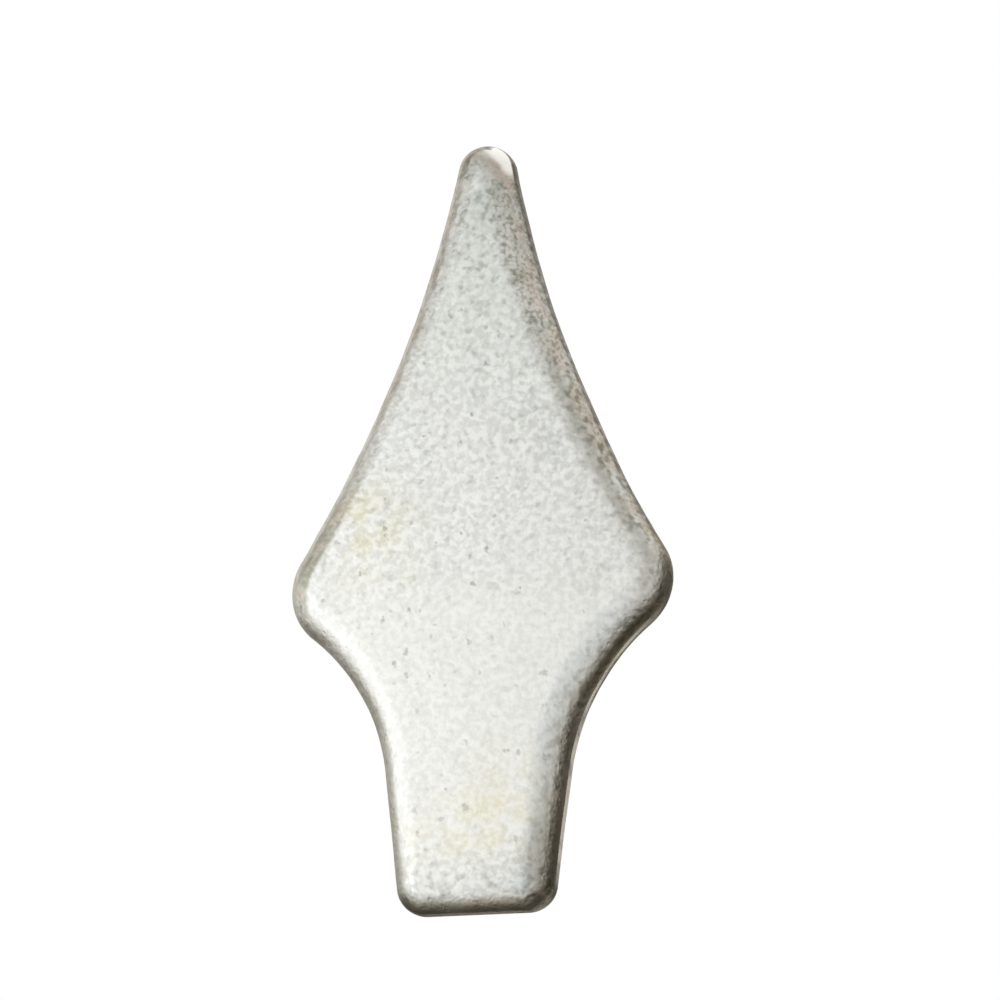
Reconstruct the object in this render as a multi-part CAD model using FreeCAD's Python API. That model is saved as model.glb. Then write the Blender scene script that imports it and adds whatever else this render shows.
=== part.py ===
import FreeCAD, Part
import math
import os

# Railing spear finial, one solid piece of forged steel for the top of a flat or square bar.
# Units are millimetres.
# +Z runs up the axis from the weld foot to the tip, X is the width and Y the thickness.
# The origin is the centre of the flat weld face at the foot.

# Overall sizes
overall_height = 100.0
overall_width = 49.5
thickness = 9.0

# Rounding of the front and back edges, all the way round
edge_radius = 3.4

# Spear head
shoulder_height = 42.0
shoulder_radius = 7.5
flank_radius = 162.0
face_tip_radius = 0.3

# Stem and foot
neck_radius = 28.0
foot_width = 19.5
stem_taper_degrees = 6.9
face_corner_radius = 0.2

# The rounded edge is added to the nose radii of the flat face,
# so the outer outline stays round wherever the edge turns a corner
tip_radius = face_tip_radius + edge_radius
corner_radius = face_corner_radius + edge_radius


def along(start, end, length):
    """Point at the given length from start towards end, in the XZ plane."""
    gap = math.dist(start, end)
    return (start[0] + (end[0] - start[0]) * length / gap,
            start[1] + (end[1] - start[1]) * length / gap)


def outer_meeting(centre_a, radius_a, centre_b, radius_b):
    """Point on both circles, the one further out from the axis."""
    gap = math.dist(centre_a, centre_b)
    reach = (radius_a ** 2 - radius_b ** 2 + gap ** 2) / (2 * gap)
    rise = math.sqrt(radius_a ** 2 - reach ** 2)
    ux = (centre_b[0] - centre_a[0]) / gap
    uz = (centre_b[1] - centre_a[1]) / gap
    first = (centre_a[0] + ux * reach - uz * rise, centre_a[1] + uz * reach + ux * rise)
    second = (centre_a[0] + ux * reach + uz * rise, centre_a[1] + uz * reach - ux * rise)
    return first if first[0] > second[0] else second


def on_circle(centre, radius, angle):
    """Point of the circle at the given angle from +X."""
    return (centre[0] + radius * math.cos(angle), centre[1] + radius * math.sin(angle))


def point(place, side):
    """Outline point in space, on the front plane of the blank, mirrored when side is minus one."""
    return FreeCAD.Vector(side * place[0], -thickness / 2, place[1])


# Centres of the rounded tip and of the rounded shoulder
tip_centre = (0.0, overall_height - tip_radius)
shoulder_centre = (overall_width / 2 - shoulder_radius, shoulder_height)

# Hollow flank, one arc that touches the tip and the shoulder
flank_centre = outer_meeting(tip_centre, flank_radius + tip_radius,
                             shoulder_centre, flank_radius + shoulder_radius)
flank_top = along(tip_centre, flank_centre, tip_radius)
flank_end = along(shoulder_centre, flank_centre, shoulder_radius)

# Stem side, a straight line that leans out by the taper
lean = math.radians(stem_taper_degrees)
side_normal = (math.cos(lean), -math.sin(lean))
side_run = (math.sin(lean), math.cos(lean))

# Foot corner, one arc between the weld face and the stem side
corner_inset = corner_radius * (1 - math.sin(lean)) / math.cos(lean)
corner_centre = (foot_width / 2 - corner_inset, corner_radius)
corner_low = (corner_centre[0], 0.0)
corner_high = (corner_centre[0] + corner_radius * side_normal[0],
               corner_centre[1] + corner_radius * side_normal[1])

# Hollow neck, one arc that touches the stem side and the shoulder
from_shoulder = (foot_width / 2 + neck_radius * side_normal[0] - shoulder_centre[0],
                 neck_radius * side_normal[1] - shoulder_centre[1])
run_part = from_shoulder[0] * side_run[0] + from_shoulder[1] * side_run[1]
square_gap = from_shoulder[0] ** 2 + from_shoulder[1] ** 2 - (neck_radius + shoulder_radius) ** 2
run = -run_part - math.sqrt(run_part ** 2 - square_gap)
neck_centre = (shoulder_centre[0] + from_shoulder[0] + run * side_run[0],
               shoulder_centre[1] + from_shoulder[1] + run * side_run[1])
neck_low = (neck_centre[0] - neck_radius * side_normal[0],
            neck_centre[1] - neck_radius * side_normal[1])
neck_high = along(shoulder_centre, neck_centre, shoulder_radius)

# Middle points that set which way each arc bends
corner_mid = on_circle(corner_centre, corner_radius, (-math.pi / 2 - lean) / 2)
neck_mid = on_circle(neck_centre, neck_radius,
                     (math.atan2(neck_low[1] - neck_centre[1], neck_low[0] - neck_centre[0]) % math.tau
                      + math.atan2(neck_high[1] - neck_centre[1], neck_high[0] - neck_centre[0]) % math.tau) / 2)
shoulder_mid = on_circle(shoulder_centre, shoulder_radius,
                         (math.atan2(neck_high[1] - shoulder_centre[1], neck_high[0] - shoulder_centre[0])
                          + math.atan2(flank_end[1] - shoulder_centre[1], flank_end[0] - shoulder_centre[0])) / 2)
flank_mid = on_circle(flank_centre, flank_radius,
                      (math.atan2(flank_end[1] - flank_centre[1], flank_end[0] - flank_centre[0]) % math.tau
                       + math.atan2(flank_top[1] - flank_centre[1], flank_top[0] - flank_centre[0]) % math.tau) / 2)


def half_outline(side):
    """Edges of one half of the outline, from the foot to the tip."""
    def bend(start, middle, end):
        return Part.Arc(point(start, side), point(middle, side), point(end, side)).toShape()
    return [bend(corner_low, corner_mid, corner_high),
            Part.makeLine(point(corner_high, side), point(neck_low, side)),
            bend(neck_low, neck_mid, neck_high),
            bend(neck_high, shoulder_mid, flank_end),
            bend(flank_end, flank_mid, flank_top)]


weld_edge = Part.makeLine(point(corner_low, -1), point(corner_low, 1))
tip_edge = Part.Arc(point(flank_top, 1), point((0.0, overall_height), 1), point(flank_top, -1)).toShape()
edges = [weld_edge] + half_outline(1) + [tip_edge] + half_outline(-1)[::-1]
outline = Part.Wire(Part.__sortEdges__(edges))

# The blank, then the round front and back edges
blank = Part.Face(outline).extrude(FreeCAD.Vector(0, thickness, 0))
rim = [edge for edge in blank.Edges
       if abs(edge.BoundBox.YMax - edge.BoundBox.YMin) < 1e-6]
finial = blank.makeFillet(edge_radius, rim)

os.makedirs("parts", exist_ok=True)
finial.exportStep("parts/spear_finial.step")
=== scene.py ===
import math

import bmesh
import bpy
import numpy as np
from mathutils import Matrix, Vector


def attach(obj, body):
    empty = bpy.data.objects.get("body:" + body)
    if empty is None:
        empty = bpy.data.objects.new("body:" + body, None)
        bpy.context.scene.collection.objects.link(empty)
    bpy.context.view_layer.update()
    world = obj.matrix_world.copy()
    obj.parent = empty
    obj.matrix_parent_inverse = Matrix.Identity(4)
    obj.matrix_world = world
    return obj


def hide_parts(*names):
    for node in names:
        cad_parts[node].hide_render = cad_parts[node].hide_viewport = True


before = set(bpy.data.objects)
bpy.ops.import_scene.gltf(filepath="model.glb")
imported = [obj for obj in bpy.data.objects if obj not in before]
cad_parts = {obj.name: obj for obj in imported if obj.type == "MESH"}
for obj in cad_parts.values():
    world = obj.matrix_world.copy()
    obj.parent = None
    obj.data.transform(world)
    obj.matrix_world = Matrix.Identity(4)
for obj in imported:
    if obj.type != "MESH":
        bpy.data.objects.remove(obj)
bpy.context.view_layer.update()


# The finial
# One flat spear, drop forged from mild steel and trimmed round its edge, then shot blasted.
# The narrow end of the stem is left flat, and is welded to the top of the bar.

# Outline, in millimetres: x is the width and z the height above the weld face
HEIGHT = 100.0
HALF_WIDTH = 24.75
SHOULDER_HEIGHT = 42.0
SHOULDER_RADIUS = 7.5
FLANK_RADIUS = 162.0
TIP_RADIUS = 3.7
NECK_RADIUS = 28.0
HALF_FOOT = 9.75
STEM_LEAN = math.radians(6.9)
CORNER_RADIUS = 3.6

# Section: half the thickness, half the trimmed band round the edge and its bulge, and the rounding between
# band and face, which leaves the band at a crisp arris instead of running smoothly into it
HALF_THICK = 4.5
HALF_BAND = 0.8
BAND_BULGE = 0.05
ROUND_REACH = 4.2
ROUND_POWER = 2.1
ARRIS = 0.12
CROWN = 0.16
CROWN_REACH = 7.0

# Slow waves and pebbling of the skin: height, width and seed of each. They fade out towards the weld face
WAVES = ((0.10, 13.0, 11), (0.05, 5.0, 12), (0.022, 1.9, 13), (0.012, 0.8, 14))
WAVES_FROM = 1.5

# Steps along the outline get shorter where it bends, as if a radian of turning were this much longer
BEND_LENGTH = 5.0
# Rows follow the outline down to this inset, closest together at the edge, and then run to the middle line
# between these two heights
FOLLOWED = 3.2
ROW_POWER = 0.9
MIDDLE_LINE = (10.0, 93.0)
# Rows across the trimmed band, as parts of half its width
BAND_ROWS = (-0.97, -0.7, -0.35, 0, 0.35, 0.7, 0.97)
# Points nearer to each other than this, in metres, become one
MERGED = 2e-6


def arc(centre, radius, start, end, hollow):
    """Points and outward normals of an arc: the centre plus radius times (cos a, sin a), with the angle a
    running evenly from start to end. On a hollow arc the metal lies outside the circle."""
    angle = np.linspace(start, end, 500)
    ray = np.stack([np.cos(angle), np.sin(angle)], 1)
    return np.asarray(centre) + radius * ray, -ray if hollow else ray


def bearing(origin, target):
    """Angle of the line from origin to target, from 0 to a full turn."""
    return math.atan2(target[1] - origin[1], target[0] - origin[0]) % math.tau


def spear_outline(count):
    """Points and outward normals round the spear, both halves alike, with count steps a half. The steps are
    equal in length plus BEND_LENGTH times the angle turned.
    A half runs from the middle of the foot: weld face, corner arc, leaning stem, hollow neck arc,
    shoulder arc, hollow flank arc, tip arc, each tangent to the next. A hollow arc's centre lies where
    the circles of its neighbours, grown by its own radius, meet."""
    tip = np.array([0.0, HEIGHT - TIP_RADIUS])
    shoulder = np.array([HALF_WIDTH - SHOULDER_RADIUS, SHOULDER_HEIGHT])
    square = np.array([math.cos(STEM_LEAN), -math.sin(STEM_LEAN)])
    run = np.array([math.sin(STEM_LEAN), math.cos(STEM_LEAN)])
    gap = shoulder - tip
    span = np.hypot(*gap)
    near, far = FLANK_RADIUS + TIP_RADIUS, FLANK_RADIUS + SHOULDER_RADIUS
    reach = (near ** 2 - far ** 2 + span ** 2) / (2 * span)
    ahead = gap / span
    flank = tip + ahead * reach + np.array([-ahead[1], ahead[0]]) * math.sqrt(near ** 2 - reach ** 2)
    base = np.array([HALF_FOOT, 0.0]) + NECK_RADIUS * square - shoulder
    along = -base @ run - math.sqrt((base @ run) ** 2 - base @ base + (NECK_RADIUS + SHOULDER_RADIUS) ** 2)
    neck = shoulder + base + along * run
    setback = CORNER_RADIUS * (1 - math.sin(STEM_LEAN)) / math.cos(STEM_LEAN)
    corner = np.array([HALF_FOOT - setback, CORNER_RADIUS])
    weld = np.linspace([0.0, 0.0], [corner[0], 0.0], 200), np.tile([0.0, -1.0], (200, 1))
    low, high = corner + CORNER_RADIUS * square, neck - NECK_RADIUS * square
    stem = np.linspace(low, high, 200), np.tile(square, (200, 1))
    parts = [
        weld,
        arc(corner, CORNER_RADIUS, -math.pi / 2, -STEM_LEAN, False),
        stem,
        arc(neck, NECK_RADIUS, math.pi - STEM_LEAN, bearing(neck, shoulder), True),
        arc(shoulder, SHOULDER_RADIUS, bearing(shoulder, neck) - math.tau, bearing(shoulder, flank), False),
        arc(flank, FLANK_RADIUS, bearing(flank, shoulder), bearing(flank, tip), True),
        arc(tip, TIP_RADIUS, bearing(tip, flank), math.pi / 2, False),
    ]
    points = np.concatenate([part[0] for part in parts])
    normals = np.concatenate([part[1] for part in parts])
    pace = np.hypot(*np.diff(points, axis=0).T) + BEND_LENGTH * np.hypot(*np.diff(normals, axis=0).T)
    pace = np.concatenate([[0], np.cumsum(pace)])
    step = np.linspace(0, pace[-1], count + 1)
    half = np.stack([np.interp(step, pace, points[:, k]) for k in (0, 1)], 1)
    out = np.stack([np.interp(step, pace, normals[:, k]) for k in (0, 1)], 1)
    out /= np.hypot(*out.T)[:, None]
    half[[0, -1], 0] = out[[0, -1], 0] = 0.0
    mirrored = np.array([-1.0, 1.0])
    return tuple(np.concatenate([side, (side * mirrored)[-2:0:-1]]) for side in (half, out))


def skin_height(inset):
    """Height of the skin above the mid-plane at an inset from the outline: a quarter of a superellipse,
    begun a little way up so that it meets the trimmed band at an angle, then a slight crown over the face."""
    left = 1 - (np.minimum(inset, ROUND_REACH) + ARRIS) / (ROUND_REACH + ARRIS)
    rise = (1 - np.maximum(left, 0) ** ROUND_POWER) ** (1 / ROUND_POWER)
    start = (1 - (1 - ARRIS / (ROUND_REACH + ARRIS)) ** ROUND_POWER) ** (1 / ROUND_POWER)
    full = HALF_THICK - CROWN - HALF_BAND
    return HALF_BAND + full * (rise - start) / (1 - start) + CROWN * (1 - np.exp(-inset / CROWN_REACH))


def spear_skin(around, over, across):
    """Grid of the whole skin, rows by columns by three. A column follows the outline. The rows run from the
    middle line of the front face out over its rounding, across the trimmed band and back in to the middle
    line of the back. On the rounding a point is the outline point less its normal times the inset; further
    in it moves straight to the middle line at the same height. The distance from the outline gives the
    height of the skin. Beside the grid comes the inset of each point, which is 0 at the front arris, rises
    over the face and falls below 0 across the band."""
    outline, normal = spear_outline(around)
    turn = np.linspace(0, 1, over) * math.pi / 2
    inset = FOLLOWED * (1 - np.cos(turn)) ** ROW_POWER
    ring = outline[None] - inset[:, None, None] * normal[None]
    share = np.linspace(0, 1, across + 1)[1:, None, None]
    last = ring[-1]
    middle = np.stack([np.zeros(len(last)), np.clip(last[:, 1], *MIDDLE_LINE)], 1)
    inner = last[None] * (1 - share) + middle[None] * share
    flat = np.concatenate([ring, inner])
    samples = spear_outline(400)[0]
    distance = np.concatenate([
        np.min(np.hypot(*np.moveaxis(block[:, None] - samples[None], -1, 0)), axis=1)
        for block in np.array_split(flat.reshape(-1, 2), 60)]).reshape(flat.shape[:2])
    depth = np.concatenate([np.broadcast_to(inset[:, None], (over, distance.shape[1])), distance[over:]])
    height = skin_height(depth)
    front = np.stack([flat[..., 0], -height, flat[..., 1]], -1)[::-1]
    back = np.stack([flat[..., 0], height, flat[..., 1]], -1)
    band = HALF_BAND * np.array(BAND_ROWS)
    bulge = BAND_BULGE * (1 - (band / HALF_BAND) ** 2)
    edge = outline[None] + bulge[:, None, None] * normal[None]
    side = np.stack([edge[..., 0], np.broadcast_to(band[:, None], edge.shape[:2]), edge[..., 1]], -1)
    across_band = np.broadcast_to(-HALF_BAND - band[:, None], side.shape[:2])
    return np.concatenate([front, side, back]), np.concatenate([depth[::-1], across_band, depth])


def lattice_noise(points, cell, seed):
    """Smooth noise from -1 to 1: seeded random values on a cubic lattice of the given cell, which repeats
    after 32 cells, blended along each axis with the weight 3t^2 - 2t^3."""
    table = np.random.default_rng(seed).uniform(-1, 1, (32, 32, 32))
    place = points / cell + 500.0
    cube = np.floor(place).astype(int)
    part = place - cube
    part = part * part * (3 - 2 * part)
    total = np.zeros(len(points))
    for corner in np.ndindex(2, 2, 2):
        value = table[tuple(((cube + corner) % 32).T)]
        total += value * np.prod(np.where(corner, part, 1 - part), axis=1)
    return total


def waves(points):
    """Distance, in millimetres, that the skin stands proud or low: the sum of each wave's height times
    smooth noise of its width, less and less towards the weld face."""
    total = sum(height * lattice_noise(points, width, seed) for height, width, seed in WAVES)
    return total * np.clip(points[:, 2] / WAVES_FROM, 0, 1)


def closed_mesh(name, grid, rim):
    """Mesh of a grid that closes round its columns. Points that meet on the middle lines become one."""
    rows, columns = grid.shape[:2]
    index = np.arange(rows * columns).reshape(rows, columns)
    right = np.roll(index, -1, axis=1)
    faces = np.stack([index[:-1], right[:-1], right[1:], index[1:]], -1).reshape(-1, 4)
    mesh = bpy.data.meshes.new(name)
    mesh.from_pydata(grid.reshape(-1, 3) / 1000, [], faces.tolist())
    inset = mesh.attributes.new("inset", "FLOAT", "POINT")
    inset.data.foreach_set("value", rim.reshape(-1).astype(np.float32))
    shape = bmesh.new()
    shape.from_mesh(mesh)
    bmesh.ops.remove_doubles(shape, verts=shape.verts, dist=MERGED)
    bmesh.ops.recalc_face_normals(shape, faces=shape.faces)
    shape.to_mesh(mesh)
    shape.free()
    mesh.shade_smooth()
    return mesh


def in_rows(items, what):
    """Values of a mesh's items as an array with three to a row."""
    values = np.empty(len(items) * 3)
    items.foreach_get(what, values)
    return values.reshape(-1, 3)


mesh = closed_mesh("blasted_spear", *spear_skin(around=310, over=14, across=44))
places = in_rows(mesh.vertices, "co")
places += in_rows(mesh.vertex_normals, "vector") * waves(places * 1000)[:, None] / 1000
places[:, 2] = np.maximum(places[:, 2], 0)
mesh.vertices.foreach_set("co", places.reshape(-1))
mesh.update()

spear = bpy.data.objects.new("blasted_spear", mesh)
bpy.context.collection.objects.link(spear)

steel = bpy.data.materials.new("shot_blasted_steel")
steel.use_nodes = True
shader = steel.node_tree.nodes["Principled BSDF"]


def add(tree, kind, *values, **settings):
    """New node of a kind, with its settings. The values go to its sockets in their order; each is a
    constant, another node's output, or None to leave the socket as it is."""
    node = tree.nodes.new("ShaderNode" + kind)
    for name, setting in settings.items():
        setattr(node, name, setting)
    for socket, value in zip(node.inputs, values):
        if isinstance(value, bpy.types.NodeSocket):
            tree.links.new(value, socket)
        elif value is not None:
            socket.default_value = value
    return node


def worked(operation, first, *others):
    """Output of a math node. The first value is a node's output, the others outputs or numbers."""
    return add(first.id_data, "Math", first, *others, operation=operation).outputs[0]


def product(first, *others):
    """All the values multiplied."""
    for other in others:
        first = worked("MULTIPLY", first, other)
    return first


def ramp(source, low, high, to_low=0.0, to_high=1.0):
    """Value that goes from to_low to to_high as the source goes from low to high, with soft ends."""
    return add(source.id_data, "MapRange", source, low, high, to_low, to_high,
               interpolation_type="SMOOTHSTEP").outputs["Result"]


def window(source, rise, full, fall, end):
    """Value that goes from 0 to 1 as the source goes from rise to full, and back to 0 from fall to end."""
    return product(ramp(source, rise, full), ramp(source, end, fall))


def blend(factor, first, second, mode="MIX"):
    """Colour that goes from first to second; each is a colour or a node's output."""
    first, second = ((*value, 1.0) if isinstance(value, tuple) else value for value in (first, second))
    return add(factor.id_data, "Mix", factor, *[None] * 5, first, second,
               data_type="RGBA", blend_type=mode).outputs[2]


def toned(colour, tone, *where):
    """Colour multiplied by a tone, as far as the product of the values in where goes."""
    return blend(product(*where), colour, tone, "MULTIPLY")


def tinted(red, green, blue, tone):
    """Colour of the steel, scaled to a tone."""
    return red * tone, green * tone, blue * tone


def noise(scale, detail, rough=0.5):
    """Noise on the piece's own coordinates; scale is in cells a metre."""
    return add(steel.node_tree, "TexNoise", place, None, scale, detail, rough).outputs["Fac"]


def patch(x, z, size):
    """Value that is 1 at a place on the front face and falls to 0 at a distance of about its size, in
    millimetres, ragged at the border and broken up by the grain."""
    away = add(steel.node_tree, "VectorMath", spot, (x, -HALF_THICK, z), operation="DISTANCE")
    return product(ramp(away.outputs["Value"], 0.0, size, 1.0, 0.0), ramp(mottle, 0.34, 0.62),
                   ramp(grain, 0.62, 0.42, 0.45, 1.0))


# The piece's own coordinates, in metres for the textures and in millimetres for all else: across to the
# right, back and up. The inset from the front arris is in millimetres too
place = add(steel.node_tree, "TexCoord").outputs["Object"]
spot = add(steel.node_tree, "VectorMath", place, (1000.0,) * 3, operation="MULTIPLY").outputs["Vector"]
across, back, up = add(steel.node_tree, "SeparateXYZ", spot).outputs
inset = add(steel.node_tree, "Attribute", attribute_name="inset").outputs["Fac"]
front_half = ramp(back, 0.8, -0.8)
grain = noise(1150, 1.0, 0.55)
fine = noise(3100, 1.0)
small = noise(1900, 1.0)
speckle = noise(950, 1.0, 0.5)
mottle = noise(260, 3.0, 0.55)
cloud = noise(60, 3.0)

# Bare blasted steel, lighter and darker by the grain, the mottling and slow clouds
colour = blend(ramp(grain, 0.34, 0.66), tinted(0.985, 1.0, 0.955, 0.75), tinted(0.985, 1.0, 0.955, 0.93))
colour = blend(ramp(mottle, 0.35, 0.70, 0.0, 0.26), colour, tinted(0.99, 1.0, 0.97, 0.74))
colour = blend(ramp(cloud, 0.35, 0.70, 0.0, 0.25), colour, tinted(1.0, 0.995, 0.955, 0.83))

# Small dark spots all over
colour = toned(colour, (0.78, 0.78, 0.77), ramp(speckle, 0.56, 0.74, 0.0, 0.75))

# Smoother and lighter below the middle, down to a little above the weld face
calm = product(ramp(up, 50, 34), ramp(up, 3, 10), 0.5)
colour = blend(calm, colour, tinted(1.0, 1.0, 0.95, 0.92))

# Coarser speckle on the right flank, towards the tip and beside the weld face
right_side = product(ramp(inset, 5.5, 1.0), ramp(across, -2, 10))
for where, amount in ((right_side, 0.7), (ramp(up, 68, 90), 0.8), (ramp(up, 11, 2), 0.35)):
    colour = toned(colour, (0.76, 0.765, 0.745), where, ramp(speckle, 0.50, 0.62, 0.0, amount))

# Painted shade: a little darker to the right, the side turned from the light, and more so in two places on
# that side, by the right shoulder and in the middle. Darker too in a place at the foot
colour = toned(colour, (0.89, 0.89, 0.89), ramp(across, -20, 24))
colour = toned(colour, (0.90, 0.90, 0.895), patch(19.0, 41.0, 13.0))
colour = toned(colour, (0.91, 0.91, 0.905), patch(10.0, 60.0, 11.0))
colour = toned(colour, (0.82, 0.82, 0.82), patch(6.0, 4.8, 5.5))

# Blue-grey and duller towards the tip
colour = toned(colour, tinted(0.985, 1.0, 0.985, 0.86), ramp(up, 46, 100))
colour = toned(colour, tinted(0.985, 1.0, 0.985, 0.88), ramp(up, 82, 97))

# Thin stains: yellow-green at the left shoulder, cream low on the stem
STAINS = (
    (-12.3, 48.3, 9.5, (0.985, 0.965, 0.855)),
    (-16.3, 46.5, 7.5, (0.985, 0.965, 0.87)),
    (-15.5, 52.5, 5.5, (0.985, 0.955, 0.87)),
    (-8.2, 41.1, 3.5, (0.94, 0.955, 0.86)),
    (4.5, 13.0, 10.5, (0.99, 0.96, 0.86)),
    (-1.0, 11.5, 7.0, (1.0, 0.99, 0.94)),
    (-4.5, 8.5, 7.5, (1.0, 0.98, 0.91)),
    (3.5, 9.5, 8.0, (1.0, 0.985, 0.91)),
)
for x, z, size, tone in STAINS:
    colour = toned(colour, tone, patch(x, z, size))

# Olive-brown film on the rounding, heaviest beside the trimmed band, and thin at the left neck and on the
# right flank. Low on the left it is greyer and reaches further in
left_neck = product(ramp(across, -2, -6), ramp(up, 43, 36))
right_flank = product(ramp(across, 1, 5), ramp(up, 44, 52))
film = product(ramp(inset, 1.6, 0.0), ramp(mottle, 0.25, 0.70, 0.55, 1.0),
               ramp(left_neck, 0.0, 1.0, 1.0, 0.2), ramp(right_flank, 0.0, 1.0, 1.0, 0.15))
colour = toned(colour, (0.93, 0.875, 0.77), film)
low_left = product(ramp(across, -2, -6), ramp(up, 35, 26), ramp(inset, 2.2, 1.1))
colour = toned(colour, (0.72, 0.725, 0.68), low_left)
smudge = product(ramp(inset, 0.4, 3.4, 0.8, 0.0), ramp(mottle, 0.50, 0.62),
                 ramp(right_flank, 0.0, 1.0, 1.0, 0.3))
colour = toned(colour, (0.87, 0.84, 0.81), smudge)

# Band on the rounding round the left shoulder, pinkish beige and greenish grey, with a clear inner border
# that comes nearer to the edge below the shoulder
border = ramp(worked("SUBTRACT", inset, ramp(up, 36.5, 43.5, 0.0, 1.4)), 2.25, 1.55)
left_band = product(border, ramp(inset, 0.6, 2.1, 0.1, 1.0), ramp(across, -8, -15),
                    window(up, 36, 41, 42, 67))
beige = blend(ramp(mottle, 0.44, 0.54), (0.55, 0.55, 0.475), (0.70, 0.635, 0.58))
colour = toned(colour, beige, left_band)

# Warmer and a little darker in places along the left flank above the middle
high_left = product(ramp(inset, 2.4, 1.7), ramp(across, -0.5, -2.5), ramp(up, 58, 72))
colour = toned(colour, (0.92, 0.86, 0.81), high_left, ramp(mottle, 0.38, 0.54, 0.35, 1.0))

# On the right flank a grey line some way in from the edge, partly painted shade of the rounding there, and
# between them pinkish places and dark grains
flank = product(ramp(across, 1, 5), window(up, 42, 50, 70, 92))
painted_shade_line = product(window(inset, 1.1, 1.8, 2.4, 2.9), ramp(up, 86, 66), ramp(mottle, 0.30, 0.55, 0.5, 1.0))
colour = toned(colour, (0.80, 0.805, 0.785), flank, painted_shade_line)
outer = product(flank, ramp(inset, 2.2, 1.1))
colour = toned(colour, (1.0, 0.93, 0.885), outer, ramp(mottle, 0.44, 0.56))
colour = toned(colour, (0.74, 0.755, 0.695), outer, ramp(speckle, 0.46, 0.66))

# Pale pinkish places on the rounding near the tip, further down on the right side than on the left
pinkish = blend(ramp(inset, 0.9, 1.8), (0.98, 0.84, 0.76), (0.93, 0.90, 0.87))
right_edge = product(ramp(across, 0, 2), ramp(up, 60, 78))
left_edge = product(ramp(across, 0, -2), ramp(up, 82, 88))
tip_edge = product(window(inset, 0.25, 0.5, 2.2, 3.4), ramp(mottle, 0.36, 0.56, 0.25, 1.0))
for where, amount in ((right_edge, 0.45), (left_edge, 0.42)):
    colour = blend(product(tip_edge, where, ramp(small, 0.58, 0.42, 0.22, amount)), colour, pinkish)

# Dark grains between them down the right side, and one dark spot
dark_grains = product(window(inset, 0.8, 1.3, 2.6, 4.0), right_edge, ramp(up, 96, 92),
                      ramp(small, 0.45, 0.66))
colour = toned(colour, (0.73, 0.735, 0.69), dark_grains)
colour = toned(colour, (0.58, 0.57, 0.50), patch(5.6, 81.4, 2.6))

# Pits, small and shallow, with uneven borders, darker inside
cells = add(steel.node_tree, "TexVoronoi", place, None, 620.0)
chance = add(steel.node_tree, "SeparateColor", cells.outputs["Color"]).outputs[0]
uneven = worked("MULTIPLY_ADD", noise(1500, 1.0), 1.3, cells.outputs["Distance"])
pits = product(ramp(uneven, 0.92, 0.60), ramp(chance, 0.45, 0.95))
colour = blend(product(pits, ramp(inset, 3.0, 9.0, 0.40, 0.70)), colour, (0.36, 0.37, 0.34))

# Dark line over the trimmed band above the shoulders, broken here and there, and unbroken towards the tip
line = product(ramp(inset, 0.28, 0.08), ramp(up, 42, 48),
               worked("MAXIMUM", ramp(up, 80, 90), ramp(speckle, 0.30, 0.54, 0.35, 0.95)), 0.9)
colour = blend(line, colour, (0.20, 0.17, 0.135))

# Darker olive beside the band on the right side, at the top of the right shoulder, round the right neck and
# low on the stem: partly olive oxide, partly painted shade of the rounding on the side turned from the light
turned = product(ramp(inset, 0.6, 0.3), window(up, 42, 47, 50, 55))
under = product(window(inset, -0.05, 0.1, 0.35, 0.8), window(up, 23, 31, 37, 41))
low = product(window(inset, -0.05, 0.1, 2.4, 3.4), ramp(up, 15, 7))
for where, tone in ((turned, (0.72, 0.68, 0.60)), (under, (0.45, 0.42, 0.35)), (low, (0.70, 0.68, 0.64))):
    colour = toned(colour, tone, where, ramp(across, 5, 10), front_half)

# Blue-grey between the dark edge and the face, down the right side of the stem
cool = product(window(inset, 0.9, 1.5, 3.2, 4.4), ramp(across, 4, 7), ramp(up, 42, 34))
colour = toned(colour, (0.955, 0.98, 1.0), cool, front_half)

# A dark line on the rounding at the foot, beside the weld face
foot_line = product(window(inset, -0.05, 0.1, 0.8, 1.5), ramp(up, 2.5, 1.2), ramp(across, 9.0, 6.5),
                    ramp(speckle, 0.35, 0.60, 1.0, 0.7))
colour = toned(colour, (0.78, 0.76, 0.72), foot_line, front_half)

# Pale and matt below the shoulders, along the front half of the band, and over all of it on the stem
rubbed = worked("MAXIMUM", product(ramp(inset, -1.3, -0.8), ramp(up, 40, 33)),
                product(ramp(inset, -1.9, -1.7), ramp(up, 29, 24)))
rubbed = product(rubbed, ramp(inset, -0.02, -0.25), ramp(up, 2, 5), ramp(mottle, 0.30, 0.50, 0.55, 1.0))
colour = blend(rubbed, colour, (0.93, 0.90, 0.83))

# Tip: an olive line round its left side, which reaches further in towards the left. Then a near-white
# crescent from the top down to the right, which is a painted highlight, and a brown-pink tint beside it.
# Both lie outside a wavy circle round a point a little left of the axis. A light place and a brown one lie
# inside it
wider = worked("SUBTRACT", inset, ramp(across, -2.0, 0.5, 1.1, 0.0))
olive = product(ramp(wider, 1.3, 0.9), ramp(across, 1.6, 0.7), ramp(up, 94.5, 97.5),
                ramp(speckle, 0.35, 0.60, 0.6, 1.0), front_half)
olive_tone = blend(ramp(across, -3.0, 0.0), (0.80, 0.76, 0.68), (0.42, 0.41, 0.35))
colour = toned(colour, olive_tone, olive)
flat = add(steel.node_tree, "VectorMath", spot, (1.0, 0.0, 1.0), operation="MULTIPLY").outputs["Vector"]
away = add(steel.node_tree, "VectorMath", flat, (-2.1, 0.0, 93.6), operation="DISTANCE").outputs["Value"]
wavy = worked("MULTIPLY_ADD", mottle, 1.6, away)
tint = product(ramp(wavy, 4.3, 5.2), ramp(up, 92, 96), ramp(across, -2.4, -0.8),
               ramp(speckle, 0.60, 0.44, 0.15, 1.0), front_half)
colour = toned(colour, (0.86, 0.765, 0.71), tint)
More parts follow.
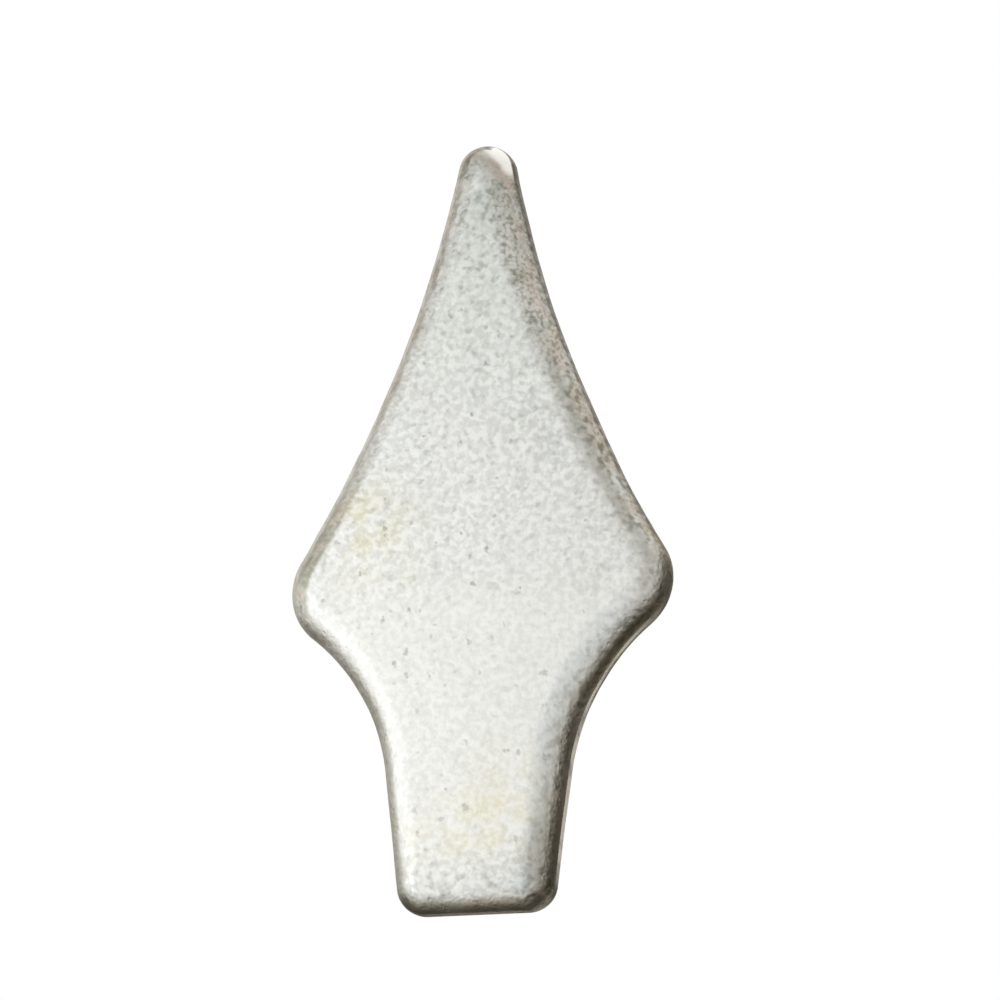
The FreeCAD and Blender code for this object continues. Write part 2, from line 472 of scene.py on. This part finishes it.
# Painted highlight: the near-white crescent at the tip
painted_highlight = product(ramp(wavy, 5.8, 7.0), ramp(inset, 0.10, 0.26), front_half, ramp(across, -0.2, 0.8),
                   ramp(up, 94.0, 96.5), ramp(olive, 0.8, 0.0))
colour = blend(painted_highlight, colour, (1.0, 0.985, 0.925))
colour = blend(product(patch(-0.9, 94.2, 2.8), 0.8), colour, tinted(1.0, 1.0, 0.97, 0.97))
colour = toned(colour, (0.76, 0.70, 0.63), patch(-2.0, 97.0, 2.8))

# The crescent of painted highlight is dull, and so are the pale band, a little, and fine grains on the
# rounding
pale_grains = product(window(inset, 0.15, 0.6, 2.0, 4.5), ramp(speckle, 0.52, 0.36, 0.0, 0.16))
dull = worked("MAXIMUM", worked("MAXIMUM", painted_highlight, product(rubbed, 0.2)), pale_grains)

# The grain stands proud, more on the rounding than on the face, and is shinier where it is high. The pits
# lie low
roughness = add(steel.node_tree, "Mix", rubbed, None, ramp(grain, 0.3, 0.7, 0.37, 0.29), 0.95).outputs[0]
bump = add(steel.node_tree, "Bump")
bump.inputs["Distance"].default_value = 0.00012
fine_bump = add(steel.node_tree, "Bump", 0.12)
fine_bump.inputs["Distance"].default_value = 0.00004
for output, socket in (
    (ramp(inset, 1.0, 3.5, 0.8, 0.55), bump.inputs["Strength"]),
    (worked("MULTIPLY_ADD", pits, -0.5, grain), bump.inputs["Height"]),
    (fine, fine_bump.inputs["Height"]),
    (bump.outputs["Normal"], fine_bump.inputs["Normal"]),
    (fine_bump.outputs["Normal"], shader.inputs["Normal"]),
    (roughness, shader.inputs["Roughness"]),
    (ramp(dull, 1.0, 0.0), shader.inputs["Metallic"]),
    (colour, shader.inputs["Base Color"]),
):
    steel.node_tree.links.new(output, socket)
mesh.materials.append(steel)

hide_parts("spear_finial")
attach(spear, "root")


# The studio
# A pale matt floor under the foot, and a white surround with soft grey and bright places, which the steel
# mirrors. Three soft lamps light the floor.
# The floor turns to the white of the surround away from the foot. It is clear from below, because the picture
# looks up at the part from under the floor's level.

# The lamps and the camera point at the middle of the part, and the surround is centred on it, in metres
MIDDLE = (0.0, 0.0, 0.05)

FLOOR_COLOUR = (0.86, 0.86, 0.85, 1.0)
FLOOR_HALF = 2.0
# The floor is its own colour up to the first distance from the foot, and white from the second
FADE_FROM, FADE_TO = 0.14, 0.42

SURROUND_RADIUS = 0.6
# Darker places in the surround and brighter ones: azimuth, elevation, width and depth or gain
SHADES = (
    (110, -9, 29, 0.98),
    (122, 20, 19, 0.85),
    (-100, 36, 19, 0.50),
    (-138, -47, 60, 0.95),
    (66, 17, 56, 0.36),
    (-51, 39, 19, 0.50),
    (110, -60, 36, 0.96),
    (152, 5, 27, 0.92),
    (159, -14, 14, 0.80),
    (-164, 15, 20, 0.42),
)
BRIGHTS = (
    (-60, -4, 37, 0.34),
    (-65, -58, 27, 0.52),
)


def looked_at(tree):
    """Value that is 1 for a ray from the camera, off a shiny surface or through glass, and 0 for the rest."""
    ray = add(tree, "LightPath").outputs
    return worked("MAXIMUM", worked("MAXIMUM", ray["Is Camera Ray"], ray["Is Glossy Ray"]),
                  ray["Is Transmission Ray"])


world = bpy.data.worlds.new("white_surround")
bpy.context.scene.world = world
world.use_nodes = True
surround = world.node_tree.nodes["Background"]
surround.inputs["Color"].default_value = (1.0, 1.0, 1.0, 1.0)
strength = add(world.node_tree, "MapRange", looked_at(world.node_tree), 0.0, 1.0, 0.8, 1.0)
world.node_tree.links.new(strength.outputs["Result"], surround.inputs["Strength"])

floor_mesh = bpy.data.meshes.new("floor")
floor_mesh.from_pydata([(FLOOR_HALF * x, FLOOR_HALF * y, 0) for x, y in ((-1, -1), (1, -1), (1, 1), (-1, 1))],
                       [], [(0, 1, 2, 3)])
floor = bpy.data.objects.new("floor", floor_mesh)
bpy.context.collection.objects.link(floor)
floor.visible_glossy = False
pale = bpy.data.materials.new("pale_floor")
pale.use_nodes = True
tree = pale.node_tree
matt = tree.nodes["Principled BSDF"]
matt.inputs["Base Color"].default_value = FLOOR_COLOUR
matt.inputs["Roughness"].default_value = 0.9
reach = add(tree, "VectorMath", add(tree, "TexCoord").outputs["Object"], operation="LENGTH").outputs["Value"]
whitened = product(ramp(reach, FADE_FROM, FADE_TO), looked_at(tree))
ground = add(tree, "MixShader", whitened, matt.outputs[0], add(tree, "Emission").outputs[0])
clear = worked("MAXIMUM", add(tree, "NewGeometry").outputs["Backfacing"],
               add(tree, "LightPath").outputs["Is Shadow Ray"])
seen = add(tree, "MixShader", clear, ground.outputs[0], add(tree, "BsdfTransparent").outputs[0])
tree.links.new(seen.outputs[0], tree.nodes["Material Output"].inputs["Surface"])
floor_mesh.materials.append(pale)


def heading(azimuth, elevation):
    """Unit vector from the object towards an azimuth, 0 in front and 90 at the right, and an elevation."""
    a, e = math.radians(azimuth), math.radians(elevation)
    return np.array([math.sin(a) * math.cos(e), -math.cos(a) * math.cos(e), math.sin(e)])


def tent(rings, sides, radius):
    """Inside of a ball round the object, rings by sides points, with the brightness of each. The brightness
    is 1, times 1 less the depth of each shade, plus the gain of each bright place. Both fall off from their
    own heading with exp of minus the cube of the angle over the width."""
    e, a = np.meshgrid(np.linspace(-math.pi / 2, math.pi / 2, rings),
                       np.linspace(0, math.tau, sides, endpoint=False), indexing="ij")
    ray = np.stack([np.sin(a) * np.cos(e), -np.cos(a) * np.cos(e), np.sin(e)], -1)

    def spread(azimuth, elevation, width):
        angle = np.degrees(np.arccos(np.clip(ray @ heading(azimuth, elevation), -1, 1)))
        return np.exp(-(angle / width) ** 3)

    glow = np.ones(ray.shape[:2])
    for *where, depth in SHADES:
        glow *= 1 - depth * spread(*where)
    for *where, gain in BRIGHTS:
        glow += gain * spread(*where)
    return ray * radius + np.array(MIDDLE), glow


ball, glow = tent(73, 144, SURROUND_RADIUS)
index = np.arange(glow.size).reshape(glow.shape)
right = np.roll(index, -1, axis=1)
faces = np.stack([index[:-1], index[1:], right[1:], right[:-1]], -1).reshape(-1, 4)
# The ball is left out where it would be as bright as the white surround behind it
faces = faces[np.abs(glow.reshape(-1)[faces] - 1).max(axis=1) > 0.01]
cloth = bpy.data.meshes.new("grey_tent")
cloth.from_pydata(ball.reshape(-1, 3), [], faces.tolist())
cloth.attributes.new("glow", "FLOAT", "POINT").data.foreach_set("value", glow.reshape(-1).astype(np.float32))
grey_tent = bpy.data.objects.new("grey_tent", cloth)
bpy.context.collection.objects.link(grey_tent)
grey_tent.visible_camera = grey_tent.visible_shadow = grey_tent.visible_diffuse = False
fabric = bpy.data.materials.new("grey_tent")
fabric.use_nodes = True
tree = fabric.node_tree
shade = add(tree, "Attribute", attribute_name="glow").outputs["Fac"]
lit = add(tree, "Emission", blend(shade, (1.0, 0.91, 0.77), (1.0, 1.0, 1.0)), shade)
tree.links.new(lit.outputs[0], tree.nodes["Material Output"].inputs["Surface"])
cloth.materials.append(fabric)


def aimed(thing, azimuth, elevation, distance):
    """Sets a lamp or the camera at a distance from the middle of the part and turns it to the part."""
    out = Vector(heading(azimuth, elevation))
    turn = out.to_track_quat("Z", "Y").to_matrix().to_4x4()
    thing.matrix_world = Matrix.Translation(Vector(MIDDLE) + out * distance) @ turn


def lamp(name, azimuth, elevation, size, power, colour=(1.0, 1.0, 1.0)):
    """Soft square lamp, half a metre off, that isn't seen by the camera itself."""
    data = bpy.data.lights.new(name, "AREA")
    data.size, data.energy, data.color = size, power, colour
    thing = bpy.data.objects.new(name, data)
    bpy.context.collection.objects.link(thing)
    thing.visible_camera = thing.visible_glossy = False
    aimed(thing, azimuth, elevation, 0.5)


lamp("left_lamp", -58, -8, 0.4, 1.0)
lamp("top_lamp", 160, 62, 0.12, 0.8, (1.0, 0.98, 0.93))
lamp("back_lamp", 168, -8, 0.2, 0.5)


# The camera
# It stands to the right of the front face and a little below it, far off with a long lens. It is turned a
# little about its own axis, and shifted to put the part where it lies in the picture.
AZIMUTH, ELEVATION, DISTANCE = 16.02, -15.43, 0.74
SENSOR, LENS = 36.0, 211.1
ROLL = math.radians(0.855)
AIM_RIGHT, AIM_UP = 0.00216, 0.00309

data = bpy.data.cameras.new("camera")
data.sensor_width, data.lens = SENSOR, LENS
camera = bpy.data.objects.new("camera", data)
bpy.context.collection.objects.link(camera)
aimed(camera, AZIMUTH, ELEVATION, DISTANCE)
bpy.context.view_layer.update()
axes = camera.matrix_world.to_3x3()
axes = Matrix.Rotation(ROLL, 3, axes.col[2]) @ axes
camera.matrix_world = Matrix.Translation(
    camera.location + axes.col[0] * AIM_RIGHT + axes.col[1] * AIM_UP) @ axes.to_4x4()
bpy.context.scene.camera = camera
bpy.context.scene.view_settings.view_transform = "Standard"
